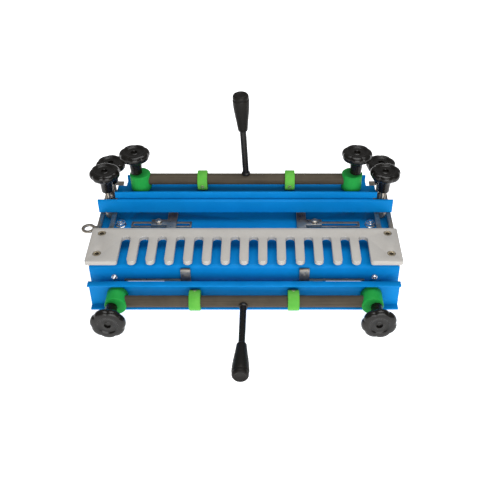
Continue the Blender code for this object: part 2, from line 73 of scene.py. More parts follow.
MM = 0.001
SIDES = (("left", -1), ("right", 1))
ENDS = ("front", "back")
UPRIGHT = Matrix.Identity(3)
FORWARD = Matrix(((1, 0, 0), (0, 0, -1), (0, 1, 0)))
ALONG = Matrix(((0, 0, 1), (1, 0, 0), (0, 1, 0)))
KNOB_HEAD = 12.0
KNOB_RIM = {"arm": 19.2, "top": 19.2, "front": 21.0}
KNOB_TURN = {"top_knob_left": 20, "top_knob_right": 5, "front_knob_left": 10, "front_knob_right": 32}
ARM_KNOB_BORE = 3.65
CLAMP_KNOB_BORE = 4.35
ARM_STUD_R = 3.3
CLAMP_STUD_R = 4
THREAD_END = 0.6
ROD_R = 7.1
COLLAR_BORE = 7.4
COLLAR_R = 12.7
CAM_THROW = 2.0
COLLAR_SCREW_SINK = 0.15
SPRING_R = 6.6
SPRING_GAP = 0.05
SPRING_TURNS = 5
GRIP_PROFILE = [
    (0, 92.5), (4.3, 92.5), (4.3, 71.0), (4.9, 71.0), (5.5, 71.3), (6.0, 72.2), (6.3, 75.0),
    (6.8, 79.5), (7.4, 85.0), (8.2, 90.5), (9.0, 97.0), (9.6, 103.0), (10.0, 109.0),
    (10.0, 112.0), (9.8, 113.4), (9.3, 113.9), (9.3, 114.5), (9.7, 115.0), (9.7, 116.6),
    (9.3, 118.3), (8.5, 119.5), (7.6, 120.0), (6.9, 119.9), (6.3, 119.3), (5.6, 118.9), (0, 118.9),
]
FLOOR_REACH = 30.0
FILL_SHARE = 2.1
CLAMPS = {
    "top": {"frame": UPRIGHT, "lean": 2.5, "lever": 0.2, "screw": -8},
    "front": {"frame": FORWARD, "lean": 0.6, "lever": -0.8, "screw": 200},
}


# ---------------------------------------------------------------- settings

class JigFinishSettings(bpy.types.PropertyGroup):
    """Colours of the jig's finishes."""

    paint: FloatVectorProperty(name="Paint", description="Colour of the enamelled sheet steel",
                               subtype="COLOR", size=3, min=0, max=1, default=(0.0026, 0.190, 0.520))
    alloy: FloatVectorProperty(name="Template", description="Colour of the template's cast face",
                               subtype="COLOR", size=3, min=0, max=1, default=(0.400, 0.384, 0.360))
    rim: FloatVectorProperty(name="Template rims", description="Colour of the template's ground edges",
                             subtype="COLOR", size=3, min=0, max=1, default=(0.640, 0.630, 0.605))
    zinc: FloatVectorProperty(name="Zinc", description="Colour of the zinc-plated steel",
                              subtype="COLOR", size=3, min=0, max=1, default=(0.310, 0.288, 0.255))
    chrome: FloatVectorProperty(name="Chrome", description="Colour of the bright nuts and screws",
                                subtype="COLOR", size=3, min=0, max=1, default=(0.800, 0.810, 0.820))
    rod: FloatVectorProperty(name="Cam rod", description="Colour of the blackened cam rods",
                             subtype="COLOR", size=3, min=0, max=1, default=(0.060, 0.050, 0.036))
    black: FloatVectorProperty(name="Knobs", description="Colour of the knobs and levers",
                               subtype="COLOR", size=3, min=0, max=1, default=(0.0045, 0.0040, 0.0034))
    green: FloatVectorProperty(name="Blocks", description="Colour of the pivot blocks",
                               subtype="COLOR", size=3, min=0, max=1, default=(0.0160, 0.290, 0.050))
    collar: FloatVectorProperty(name="Collars", description="Colour of the cam collars",
                                subtype="COLOR", size=3, min=0, max=1, default=(0.088, 0.355, 0.046))
    brass: FloatVectorProperty(name="Yellow zinc", description="Colour of the template and collar screws",
                               subtype="COLOR", size=3, min=0, max=1, default=(0.480, 0.420, 0.300))


class JigDetailSettings(bpy.types.PropertyGroup):
    """Sizes of the small details."""

    sheet_edge: FloatProperty(name="Sheet edge", description="Rounding on the folded sheet's edges",
                              unit="LENGTH", default=0.35 * MM, min=0.05 * MM, max=1 * MM)
    comb_edge: FloatProperty(name="Template edge", description="Width of the template's ground rim",
                             unit="LENGTH", default=0.5 * MM, min=0.1 * MM, max=1.5 * MM)
    knob_lobes: IntProperty(name="Knob lobes", description="Number of lobes on each star knob",
                            default=7, min=5, max=9)
    thread_pitch: FloatProperty(name="Thread pitch", description="Distance between the ridges on the studs",
                                unit="LENGTH", default=1.25 * MM, min=0.8 * MM, max=2 * MM)
    spring_wire: FloatProperty(name="Spring wire", description="Radius of the springs' wire",
                               unit="LENGTH", default=0.75 * MM, min=0.4 * MM, max=1 * MM)


class JigStageSettings(bpy.types.PropertyGroup):
    """Camera and light."""

    camera_place: FloatVectorProperty(name="Camera place",
                                      description="Where the camera stands, from the template's front middle",
                                      subtype="TRANSLATION", size=3, default=(0.0243, -0.7104, 0.5985))
    camera_pitch: FloatProperty(name="Camera pitch",
                                description="How far the camera is raised from straight down",
                                subtype="ANGLE", default=math.radians(50.73))
    lens: FloatProperty(name="Lens", description="Focal length in millimetres",
                        default=56.88, min=10, max=200)
    shift: FloatProperty(name="Shift", description="Sideways lens shift", default=-0.029, min=-0.1, max=0.1)
    sky: FloatProperty(name="Room light", description="Strength of the even light",
                       default=0.26, min=0, max=5)
    key: FloatProperty(name="Key light", description="Power of the overhead softbox", unit="POWER",
                       default=15.0, min=0, max=200)


# ---------------------------------------------------------------- finishes

class Nodes:
    """Node tree of one finish, with short calls for the nodes that the finishes share."""

    def __init__(self, name, colour, metallic, roughness):
        self.material = bpy.data.materials.new("jig_" + name)
        self.material.use_nodes = True
        self.tree = self.material.node_tree
        self.shader = self.tree.nodes["Principled BSDF"]
        self.colour = tuple(colour)
        self.set("Base Color", (*colour, 1.0))
        self.set("Metallic", metallic)
        self.set("Roughness", roughness)
        self.material.diffuse_color = (*colour, 1.0)
        self.place = self.tree.nodes.new("ShaderNodeTexCoord").outputs["Object"]

    def set(self, socket, value):
        self.shader.inputs[socket].default_value = value

    def stretched(self, scale):
        node = self.tree.nodes.new("ShaderNodeMapping")
        node.inputs["Scale"].default_value = scale
        self.tree.links.new(self.place, node.inputs["Vector"])
        return node.outputs["Vector"]

    def noise(self, scale, detail=3.0, roughness=0.5, place=None):
        node = self.tree.nodes.new("ShaderNodeTexNoise")
        node.inputs["Scale"].default_value = scale
        node.inputs["Detail"].default_value = detail
        node.inputs["Roughness"].default_value = roughness
        self.tree.links.new(place or self.place, node.inputs["Vector"])
        return node.outputs["Fac"]

    def pebbles(self, scale):
        node = self.tree.nodes.new("ShaderNodeTexVoronoi")
        node.inputs["Scale"].default_value = scale
        self.tree.links.new(self.place, node.inputs["Vector"])
        return node.outputs["Distance"]

    def tint(self, source, dark, light, low=0.3, high=0.7):
        """Colour that runs between two shades of the finish as a pattern rises."""
        ramp = self.tree.nodes.new("ShaderNodeValToRGB")
        ramp.color_ramp.elements[0].position = low
        ramp.color_ramp.elements[1].position = high
        for element, shade in zip(ramp.color_ramp.elements, (dark, light)):
            factors = shade if isinstance(shade, tuple) else (shade,) * 3
            element.color = (*(min(1.0, c * f) for c, f in zip(self.colour, factors)), 1.0)
        self.tree.links.new(source, ramp.inputs["Fac"])
        return ramp.outputs["Color"]

    def colour_by(self, output):
        self.tree.links.new(output, self.shader.inputs["Base Color"])

    def blend(self, first, second, factor):
        node = self.tree.nodes.new("ShaderNodeMix")
        node.data_type = "RGBA"
        self.tree.links.new(factor, node.inputs["Factor"])
        self.tree.links.new(first, node.inputs["A"])
        self.tree.links.new(second, node.inputs["B"])
        return node.outputs["Result"]

    def rough_by(self, source, low, high):
        node = self.tree.nodes.new("ShaderNodeMapRange")
        node.inputs["From Min"].default_value = 0.3
        node.inputs["From Max"].default_value = 0.7
        node.inputs["To Min"].default_value = low
        node.inputs["To Max"].default_value = high
        self.tree.links.new(source, node.inputs["Value"])
        self.tree.links.new(node.outputs["Result"], self.shader.inputs["Roughness"])

    def bump(self, source, depth, strength=0.5):
        node = self.tree.nodes.new("ShaderNodeBump")
        node.inputs["Strength"].default_value = strength
        node.inputs["Distance"].default_value = depth
        self.tree.links.new(source, node.inputs["Height"])
        self.tree.links.new(node.outputs["Normal"], self.shader.inputs["Normal"])


def make_blue_paint(s):
    n = Nodes("blue_paint", s.paint, 0.0, 0.34)
    n.set("Specular IOR Level", 0.04)
    n.colour_by(n.tint(n.noise(17, 4, 0.55), (0.75, 0.92, 0.92), (1.25, 1.08, 1.07)))
    n.rough_by(n.noise(160, 3), 0.28, 0.42)
    n.bump(n.noise(1300, 2), 0.00006, 0.35)
    return n.material


def make_cast_alloy(s):
    n = Nodes("cast_alloy", s.alloy, 0.0, 0.6)
    n.set("Specular IOR Level", 0.35)
    speckle = n.tint(n.noise(1500, 3, 0.6), (0.86, 0.85, 0.84), (1.14, 1.13, 1.12))
    cloud = n.tint(n.noise(42, 4, 0.6), (0.93, 0.92, 0.91), (1.07, 1.08, 1.09))
    n.colour_by(n.blend(speckle, cloud, n.noise(90, 2)))
    n.rough_by(n.noise(700, 3), 0.52, 0.70)
    n.bump(n.noise(2200, 3), 0.00005, 0.4)
    return n.material


def make_ground_rim(s):
    n = Nodes("ground_rim", s.rim, 0.55, 0.40)
    n.colour_by(n.tint(n.noise(1200, 2), 0.93, 1.05))
    n.rough_by(n.noise(900, 2), 0.34, 0.48)
    return n.material


def make_zinc_steel(s):
    n = Nodes("zinc_steel", s.zinc, 0.9, 0.36)
    streak = n.noise(60, 4, 0.6, n.stretched((1, 9, 9)))
    n.colour_by(n.tint(streak, (0.80, 0.77, 0.72), (1.18, 1.17, 1.16)))
    n.rough_by(n.noise(300, 3), 0.26, 0.46)
    n.bump(n.noise(500, 3, 0.5, n.stretched((1, 8, 8))), 0.00003, 0.3)
    return n.material


def make_chrome(s):
    n = Nodes("chrome", s.chrome, 1.0, 0.14)
    n.rough_by(n.noise(400, 3), 0.16, 0.28)
    n.colour_by(n.tint(n.noise(120, 2), 0.94, 1.04))
    return n.material


def make_dark_rod(s):
    n = Nodes("dark_rod", s.rod, 0.0, 0.55)
    n.set("Specular IOR Level", 0.10)
    streak = n.noise(40, 5, 0.6, n.stretched((0.35, 14, 14)))
    cloud = n.noise(55, 4, 0.6)
    n.colour_by(n.blend(n.tint(streak, (0.66, 0.66, 0.68), (1.32, 1.28, 1.24)),
                        n.tint(cloud, (0.72, 0.66, 0.60), (1.25, 1.22, 1.2)), n.noise(24, 2)))
    n.rough_by(cloud, 0.48, 0.64)
    n.bump(n.noise(900, 3, 0.5, n.stretched((0.2, 1, 1))), 0.00004, 0.4)
    return n.material


def make_black_plastic(s):
    n = Nodes("black_plastic", s.black, 0.0, 0.24)
    n.set("Specular IOR Level", 0.3)
    n.colour_by(n.tint(n.noise(70, 3), 0.8, (1.5, 1.4, 1.3)))
    n.rough_by(n.noise(260, 3), 0.18, 0.32)
    n.bump(n.noise(1700, 2), 0.00005, 0.35)
    return n.material


def make_grip_rubber(s):
    n = Nodes("grip_rubber", s.black, 0.0, 0.46)
    n.set("Specular IOR Level", 0.15)
    n.colour_by(n.tint(n.noise(900, 2), (1.1, 1.1, 1.1), (2.2, 2.1, 1.8)))
    n.rough_by(n.noise(240, 3), 0.38, 0.54)
    n.bump(n.pebbles(850), 0.00016, 0.7)
    return n.material


def make_green_plastic(s):
    n = Nodes("green_plastic", s.green, 0.0, 0.36)
    n.set("Specular IOR Level", 0.06)
    n.colour_by(n.tint(n.noise(80, 3), (0.85, 0.93, 0.9), (1.2, 1.07, 1.1)))
    n.rough_by(n.noise(300, 3), 0.32, 0.48)
    n.bump(n.noise(1500, 2), 0.00005, 0.35)
    return n.material


def make_collar_plastic(s):
    n = Nodes("collar_plastic", s.collar, 0.0, 0.40)
    n.set("Specular IOR Level", 0.06)
    n.colour_by(n.tint(n.noise(90, 3), (0.85, 0.93, 0.9), (1.2, 1.06, 1.1)))
    n.rough_by(n.noise(300, 3), 0.34, 0.50)
    n.bump(n.noise(1500, 2), 0.00005, 0.35)
    return n.material


def make_brass(s):
    n = Nodes("yellow_zinc", s.brass, 0.85, 0.36)
    n.colour_by(n.tint(n.noise(350, 3), (0.78, 0.74, 0.7), (1.15, 1.12, 1.1)))
    n.rough_by(n.noise(500, 3), 0.28, 0.46)
    return n.material


FINISHES = {
    "blue_paint": make_blue_paint, "cast_alloy": make_cast_alloy, "ground_rim": make_ground_rim,
    "zinc_steel": make_zinc_steel, "chrome": make_chrome, "dark_rod": make_dark_rod,
    "black_plastic": make_black_plastic, "grip_rubber": make_grip_rubber, "green_plastic": make_green_plastic,
    "collar_plastic": make_collar_plastic, "brass": make_brass,
}


def finish_of(name):
    """The finish's material, made the first time that it is asked for."""
    label = "jig_yellow_zinc" if name == "brass" else "jig_" + name
    return bpy.data.materials.get(label) or FINISHES[name](bpy.context.scene.jig_finish)


# ---------------------------------------------------------------- modelling helpers

def turned(bm, profile, steps=48):
    """Adds the body turned from a profile of (radius, height) in millimetres.

    Both ends of the profile lie on the axis, or it is a closed loop.
    """
    closed = profile[0] == profile[-1]
    points = profile[:-1] if closed else profile
    verts = [bm.verts.new((r, 0.0, h)) for r, h in points]
    pairs = list(zip(verts, verts[1:])) + ([(verts[-1], verts[0])] if closed else [])
    edges = [bm.edges.new(pair) for pair in pairs]
    bmesh.ops.spin(bm, geom=verts + edges, cent=(0, 0, 0), axis=(0, 0, 1), dvec=(0, 0, 0),
                   angle=math.tau, steps=steps, use_merge=True)
    bmesh.ops.remove_doubles(bm, verts=bm.verts, dist=1e-4)


def reach(radius, angle, valley, lobes, flats):
    """Distance from the axis at an angle, round, lobed or six-sided."""
    if flats:
        turn = (angle + math.pi / 6) % (math.pi / 3) - math.pi / 6
        return radius * math.cos(math.pi / 6) / math.cos(turn)
    return radius - valley * (1 - abs(math.cos(lobes * angle / 2))) ** 1.4


def stacked(bm, sections, count, lobes=7):
    """Adds a body drawn out ring by ring, and caps its ends.

    Each section is (radius, height, valley, six_sided).
    """
    first = bmesh.ops.create_circle(bm, cap_ends=False, radius=1.0, segments=count)["verts"]
    edges = list({edge for vert in first for edge in vert.link_edges})
    caps = []
    ring = first
    for index, (radius, height, valley, flats) in enumerate(sections):
        if index:
            grown = bmesh.ops.extrude_edge_only(bm, edges=edges)["geom"]
            ring = [g for g in grown if isinstance(g, bmesh.types.BMVert)]
            members = set(ring)
            edges = [g for g in grown if isinstance(g, bmesh.types.BMEdge) and set(g.verts) <= members]
        for vert in ring:
            angle = math.atan2(vert.co.y, vert.co.x)
            r = reach(radius, angle, valley, lobes, flats)
            vert.co = (r * math.cos(angle), r * math.sin(angle), height)
        if index in (0, len(sections) - 1):
            caps.append(list(edges))
    for loop in caps:
        bmesh.ops.edgeloop_fill(bm, edges=loop)


def coil(bm, radius, wire, low, high, turns, steps=28):
    """Adds a spring's wire, wound up the axis between two heights."""
    start = Matrix.Translation((radius, 0, low + wire)) @ Matrix.Rotation(math.pi / 2, 4, "X")
    made = bmesh.ops.create_circle(bm, cap_ends=True, radius=wire, segments=10, matrix=start)
    faces = list({face for vert in made["verts"] for face in vert.link_faces})
    total = steps * turns
    geom = made["verts"] + faces + list({edge for face in faces for edge in face.edges})
    bmesh.ops.spin(bm, geom=geom, cent=(0, 0, 0), axis=(0, 0, 1),
                   dvec=(0, 0, (high - low - 2 * wire) / total), angle=math.tau * turns, steps=total)


def ridged(radius, low, high, pitch, depth=0.32):
    """Profile points of a thread's ridges between two heights."""
    points, count = [], max(1, int((high - low) / pitch))
    step = (high - low) / count
    for k in range(count):
        points += [(radius - depth, low + k * step), (radius, low + (k + 0.5) * step)]
    return points + [(radius - depth, high)]


def placed(bm, origin, turn=UPRIGHT):
    """Carries a mesh from its own millimetres to its place in the frame."""
    bm.transform(Matrix.Translation(Vector(origin)) @ turn.to_4x4() @ Matrix.Scale(MM, 4))


def publish(bm, name, finishes, body, replaces=(), crisp=38.0, recalculate=True):
    """Makes an object of a finished mesh, shades it, and hands it to the frame."""
    if recalculate:
        bmesh.ops.recalc_face_normals(bm, faces=bm.faces)
    mesh = bpy.data.meshes.new(name)
    bm.to_mesh(mesh)
    bm.free()
    if "custom_normal" in mesh.attributes:
        mesh.attributes.remove(mesh.attributes["custom_normal"])
    for finish in [finishes] if isinstance(finishes, str) else finishes:
        mesh.materials.append(finish_of(finish))
    mesh.set_sharp_from_angle(angle=math.radians(crisp))
    piece = bpy.data.objects.new(name, mesh)
    bpy.context.scene.collection.objects.link(piece)
    if body:
        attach(piece, body)
    if replaces:
        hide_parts(*replaces)
    return piece


def shade_round(bm):
    for face in bm.faces:
        face.smooth = True


def stand_in(bm, node, finish, crisp=38.0):
    """Publishes a round piece that stands for one node of the frame."""
    shade_round(bm)
    return publish(bm, node + "_shape", finish, BODY[node], (node,), crisp)


def softened(node, finish, width, segments=2, wide=2.6, rim=None):
    """A merged copy of a node with its sharp edges rounded, its broad faces kept flat."""
    bm = bmesh.new()
    bm.from_mesh(NODES[node].data)
    bmesh.ops.remove_doubles(bm, verts=bm.verts, dist=2e-6)
    bmesh.ops.dissolve_limit(bm, angle_limit=math.radians(0.5), verts=bm.verts, edges=bm.edges)
    sharp = [e for e in bm.edges if len(e.link_faces) == 2 and e.calc_face_angle(0) > math.radians(40)]
    bmesh.ops.bevel(bm, geom=sharp, offset=width, offset_type="OFFSET", segments=segments, profile=0.5,
                    affect="EDGES", clamp_overlap=True, material=-1)
    for face in bm.faces:
        longest = max(edge.calc_length() for edge in face.edges)
        face.smooth = face.calc_area() / longest < wide * MM
        if rim and 0.2 < face.normal.z < 0.97:
            face.material_index = 1
    names = (finish, rim) if rim else finish
    return publish(bm, node + "_shape", names, BODY[node], (node,), 50.0, False)


def knob_axis(node):
    """The point where a knob's hub ends, on its axis."""
    low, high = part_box(node)
    spot = Vector(JOINTS[node + "_turn"]["pos_m"])
    if node.startswith("front"):
        return Vector((spot.x, high.y, spot.z)), FORWARD
    return Vector((spot.x, spot.y, low.z)), UPRIGHT


def cam_axis(prefix):
    """The middle of a clamp's cam rod, where the lever's axis meets it."""
    return Vector(JOINTS[prefix + "_cam_turn"]["pos_m"])


def centre_of(low, high):
    """The middle of a box."""
    return Vector(((low.x + high.x) / 2, (low.y + high.y) / 2, (low.z + high.z) / 2))


def foot_of(low, high):
    """The middle of a box's underside."""
    return Vector(((low.x + high.x) / 2, (low.y + high.y) / 2, low.z))


def clamp_span(prefix, middle, low, high):
    """Where a clamp's stud or spring starts on its base side, and its length in millimetres."""
    if prefix == "top":
        return Vector((middle.x, middle.y, low.z)), (high.z - low.z) / MM
    return Vector((middle.x, high.y, middle.z)), (high.y - low.y) / MM


# ---------------------------------------------------------------- pieces

class JIG_OT_base(bpy.types.Operator):
    """Folded base with rounded edges"""

    bl_idname = "jig.base"
    bl_label = "Base"

    def execute(self, context):
        softened("base_frame", "blue_paint", context.scene.jig_detail.sheet_edge)
        return {"FINISHED"}


class JIG_OT_base_nuts(bpy.types.Operator):
    """Locking nuts with washers on top of the base"""

    bl_idname = "jig.base_nuts"
    bl_label = "Base nuts"

    def execute(self, context):
        for side, _ in SIDES:
            node = f"base_nut_{side}"
            low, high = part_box(node)
            bm = bmesh.new()
            turned(bm, [(0, 0), (6.6, 0), (6.8, 0.2), (6.8, 1.0), (6.5, 1.2), (0, 1.2)])
            stacked(bm, [(5.6, 1.25, 0, True), (6.0, 1.55, 0, True), (6.0, 4.4, 0, True),
                         (5.6, 4.9, 0, True)], 48)
            turned(bm, [(0, 4.9), (4.7, 4.9), (4.7, 5.9), (4.3, 6.3), (3.2, 6.3), (3.2, 5.6), (0, 5.6)])
            turned(bm, [(0, 5.6), (2.6, 5.6), (2.6, 7.0), (2.1, 7.5), (0, 7.6)])
            placed(bm, foot_of(low, high))
            stand_in(bm, node, "chrome", 30.0)
        return {"FINISHED"}


class JIG_OT_face_screws(bpy.types.Operator):
    """Domed socket screws on the front of the base"""

    bl_idname = "jig.face_screws"
    bl_label = "Face screws"

    def execute(self, context):
        for side, _ in SIDES:
            node = f"face_screw_{side}"
            low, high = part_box(node)
            bm = bmesh.new()
            stacked(bm, [(3.8, 0, 0, False), (3.9, 0.3, 0, False), (3.8, 1.0, 0, False), (3.3, 2.0, 0, False),
                         (2.5, 2.7, 0, False), (1.9, 2.95, 0, False), (1.6, 2.95, 0, True),
                         (1.5, 1.4, 0, True)], 36)
            placed(bm, ((low.x + high.x) / 2, high.y, (low.z + high.z) / 2), FORWARD)
            stand_in(bm, node, "chrome", 35.0)
        return {"FINISHED"}


class JIG_OT_template(bpy.types.Operator):
    """Comb template with ground rims"""

    bl_idname = "jig.template"
    bl_label = "Comb template"

    def execute(self, context):
        edge = context.scene.jig_detail.comb_edge
        softened("template_comb", "cast_alloy", edge, wide=3.2, rim="ground_rim")
        return {"FINISHED"}


class JIG_OT_template_screws(bpy.types.Operator):
    """Socket screws sunk in the template"""

    bl_idname = "jig.template_screws"
    bl_label = "Template screws"

    def execute(self, context):
        for side, _ in SIDES:
            for end in ENDS:
                node = f"template_screw_{side}_{end}"
                low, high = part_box(node)
                tall = (high.z - low.z) / MM
                bm = bmesh.new()
                head = tall - 2.3
                stacked(bm, [(1.7, 0, 0, False), (2.1, 0.4, 0, False), (2.1, head, 0, False),
                             (4.6, head, 0, False), (4.7, head + 0.2, 0, False), (4.7, tall - 0.6, 0, False),
                             (4.3, tall, 0, False), (3.4, tall, 0, False), (2.9, tall - 0.2, 0, True),
                             (2.8, tall - 2.0, 0, True)], 48)
                # Faces inside the socket take the dark rod finish: painted shade in the socket's recess, not a
                # colour of the screw.
                for face in bm.faces:
                    middle = face.calc_center_median()
                    face.material_index = int(middle.xy.length < 2.9 and middle.z > head)
                placed(bm, foot_of(low, high))
                stand_in(bm, node, ("brass", "dark_rod"), 35.0)
        return {"FINISHED"}


class JIG_OT_brackets(bpy.types.Operator):
    """Slotted brackets and the hanging eye"""

    bl_idname = "jig.brackets"
    bl_label = "Brackets"

    def execute(self, context):
        edge = context.scene.jig_detail.sheet_edge
        for side, _ in SIDES:
            softened(f"template_arm_{side}", "zinc_steel", edge)
        softened("eye_tab", "zinc_steel", 1.4 * edge, 3, 2.9)
        return {"FINISHED"}


class JIG_OT_bracket_studs(bpy.types.Operator):
    """Threaded studs that the brackets slide on"""

    bl_idname = "jig.bracket_studs"
    bl_label = "Bracket studs"

    def execute(self, context):
        pitch = context.scene.jig_detail.thread_pitch / MM
        for side, _ in SIDES:
            for end in ENDS:
                node = f"arm_stud_{side}_{end}"
                low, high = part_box(node)
                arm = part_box(f"template_arm_{side}")[1].z
                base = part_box("base_frame")[1].z
                under, top = (base - low.z) / MM + 0.3, (high.z - low.z) / MM
                seat = (arm - low.z) / MM - 3.3
                bm = bmesh.new()
                turned(bm, [(0, 0), (5.5, 0), (5.5, 3.5), (ARM_STUD_R, 3.5), (ARM_STUD_R, under),
                            (6.0, under), (6.2, under + 0.2), (6.2, seat - 0.2), (6.0, seat)]
                       + ridged(ARM_STUD_R, seat, top - THREAD_END, pitch) + [(2.6, top), (0, top)], 40)
                placed(bm, foot_of(low, high))
                stand_in(bm, node, "zinc_steel", 25.0)
        return {"FINISHED"}


class JIG_OT_knobs(bpy.types.Operator):
    """Star knobs on the clamps and the brackets"""

    bl_idname = "jig.knobs"
    bl_label = "Star knobs"

    def knob(self, node, bore, turn, lobes):
        low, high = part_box(node)
        origin, facing = knob_axis(node)
        height = (high - low)["xyz".index("y" if facing is FORWARD else "z")] / MM
        rim = KNOB_RIM[node.split("_")[0]]
        under = height - KNOB_HEAD
        sections = [
            (bore, under + 2.0, 0), (bore, 0.5, 0), (bore + 0.4, 0.0, 0), (6.5, 0.0, 0), (7.0, 0.4, 0),
            (7.2, 4.0, 0), (7.6, under - 9.0, 0), (8.0, under - 6.0, 0), (8.9, under - 2.2, 0.1),
            (10.2, under - 1.0, 0.2), (rim - 5.4, under + 0.1, 0.7), (rim - 3.0, under + 1.4, 1.0),
            (rim - 1.4, under + 2.7, 1.2), (rim - 0.4, under + 4.3, 1.35), (rim, under + 5.8, 1.4),
            (rim, height - 4.2, 1.4), (rim - 0.4, height - 2.8, 1.4), (rim - 1.2, height - 1.6, 1.3),
            (rim - 2.4, height - 0.7, 1.0), (rim - 4.2, height - 0.1, 0.6), (13.4, height, 0.2),
            (12.4, height - 0.1, 0), (11.8, height - 0.5, 0), (11.2, height - 1.3, 0),
            (10.2, height - 1.8, 0), (5.6, height - 1.8, 0), (5.1, height - 1.5, 0),
            (4.6, height - 1.2, 0), (4.0, height - 1.3, 0), (3.6, height - 2.2, 0), (3.4, height - 3.6, 0),
        ]
        bm = bmesh.new()
        stacked(bm, [(r, h, v, False) for r, h, v in sections], lobes * 16, lobes)
        bm.transform(Matrix.Rotation(math.radians(turn), 4, "Z"))
        placed(bm, origin, facing)
        stand_in(bm, node, "black_plastic", 45.0)

    def execute(self, context):
        lobes = context.scene.jig_detail.knob_lobes
        for side, sign in SIDES:
            for end in ENDS:
                self.knob(f"arm_knob_{side}_{end}", ARM_KNOB_BORE, 12 * sign, lobes)
        for node, turn in KNOB_TURN.items():
            self.knob(node, CLAMP_KNOB_BORE, turn, lobes)
        return {"FINISHED"}


class JIG_OT_channels(bpy.types.Operator):
    """Clamp channels and the pressure beam"""

    bl_idname = "jig.channels"
    bl_label = "Clamp channels"

    def execute(self, context):
        for node in ("top_channel", "front_channel", "top_pressure_beam"):
            softened(node, "blue_paint", context.scene.jig_detail.sheet_edge)
        return {"FINISHED"}


class JIG_OT_blocks(bpy.types.Operator):
    """Pivot blocks that hold the cam rods"""

    bl_idname = "jig.blocks"
    bl_label = "Pivot blocks"

    def execute(self, context):
        for prefix in CLAMPS:
            for side, _ in SIDES:
                softened(f"{prefix}_block_{side}", "green_plastic", 0.5 * MM, 3, 3.2)
        return {"FINISHED"}


class JIG_OT_cam_rods(bpy.types.Operator):
    """Blackened rods that turn the cams"""

    bl_idname = "jig.cam_rods"
    bl_label = "Cam rods"

    def execute(self, context):
        for prefix in CLAMPS:
            node = f"{prefix}_cam_rod"
            low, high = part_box(node)
            half = (high.x - low.x) / 2 / MM
            bm = bmesh.new()
            turned(bm, [(0, -half), (6.5, -half), (ROD_R, 0.6 - half), (ROD_R, half - 0.6),
                        (6.5, half), (0, half)], 64)
            placed(bm, centre_of(low, high), ALONG)
            stand_in(bm, node, "dark_rod")
        return {"FINISHED"}


class JIG_OT_cams(bpy.types.Operator):
    """Eccentric collars with their set screws"""

    bl_idname = "jig.cams"
    bl_label = "Cam collars"

    def execute(self, context):
        for prefix, clamp in CLAMPS.items():
            for side, _ in SIDES:
                self.collar(prefix, clamp["frame"], side)
        return {"FINISHED"}

    def collar(self, prefix, facing, side):
        node = f"{prefix}_cam_{side}"
        low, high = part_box(node)
        half = (high.x - low.x) / 2 / MM
        bore, outer = COLLAR_BORE, COLLAR_R
        profile = [(bore, -half), (outer - 1.0, -half), (outer - 0.3, 0.3 - half), (outer, 1.0 - half),
                   (outer, half - 1.0), (outer - 0.3, half - 0.3), (outer - 1.0, half),
                   (bore, half), (bore, -half)]
        bm = bmesh.new()
        turned(bm, profile, 64)
        for vert in bm.verts:
            if math.hypot(vert.co.x, vert.co.y) > bore + 1:
                vert.co.y -= CAM_THROW
        spot = cam_axis(prefix)
        centre = Vector(((low.x + high.x) / 2, spot.y, spot.z))
        placed(bm, centre, facing @ ALONG)
        stand_in(bm, node, "collar_plastic")
        bm = bmesh.new()
        stacked(bm, [(2.4, -1.2, 0, False), (2.4, 0.15, 0, False), (2.2, 0.4, 0, False), (1.5, 0.4, 0, False),
                     (1.3, 0.35, 0, True), (1.2, -0.8, 0, True)], 30)
        angle = math.radians(CLAMPS[prefix]["screw"])
        out = facing @ Vector((0, -math.cos(angle), math.sin(angle)))
        seat = (centre + facing @ Vector((0, 0, -CAM_THROW * MM))
                + out * (outer - COLLAR_SCREW_SINK) * MM)
        placed(bm, seat, out.to_track_quat("Z", "Y").to_matrix())
        shade_round(bm)
        publish(bm, f"{prefix}_cam_screw_{side}", "brass", BODY[node], (), 35.0)


class JIG_OT_levers(bpy.types.Operator):
    """Cam levers and their moulded grips"""

    bl_idname = "jig.levers"
    bl_label = "Levers"

    def execute(self, context):
        for prefix, clamp in CLAMPS.items():
            facing = clamp["frame"] @ Matrix.Rotation(math.radians(-clamp["lean"]), 3, "Y")
            foot = cam_axis(prefix) + Vector((clamp["lever"] * MM, 0, 0))
            bm = bmesh.new()
            turned(bm, [(0, 7.4), (4.9, 7.4), (5.3, 7.8), (5.3, 9.8), (4.9, 10.1), (4.0, 10.7), (4.0, 91.2),
                        (3.2, 92.0), (0, 92.0)], 40)
            placed(bm, foot, facing)
            stand_in(bm, f"{prefix}_lever", "black_plastic")
            bm = bmesh.new()
            turned(bm, GRIP_PROFILE, 64)
            placed(bm, foot, facing)
            stand_in(bm, f"{prefix}_lever_grip", "grip_rubber", 50.0)
        return {"FINISHED"}


class JIG_OT_clamp_studs(bpy.types.Operator):
    """Threaded studs of the two clamps"""

    bl_idname = "jig.clamp_studs"
    bl_label = "Clamp studs"

    def execute(self, context):
        pitch = context.scene.jig_detail.thread_pitch / MM
        for prefix, clamp in CLAMPS.items():
            for side, _ in SIDES:
                node = f"{prefix}_stud_{side}"
                low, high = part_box(node)
                origin, length = clamp_span(prefix, centre_of(low, high), low, high)
                bm = bmesh.new()
                turned(bm, [(0, 0), (6.7, 0), (7, 0.3), (7, 3.7), (6.7, 4),
                            (CLAMP_STUD_R, 4), (CLAMP_STUD_R, 8)]
                       + ridged(CLAMP_STUD_R, 8.2, length - THREAD_END, pitch)
                       + [(3.3, length), (0, length)], 40)
                placed(bm, origin, clamp["frame"])
                stand_in(bm, node, "zinc_steel", 25.0)
        return {"FINISHED"}


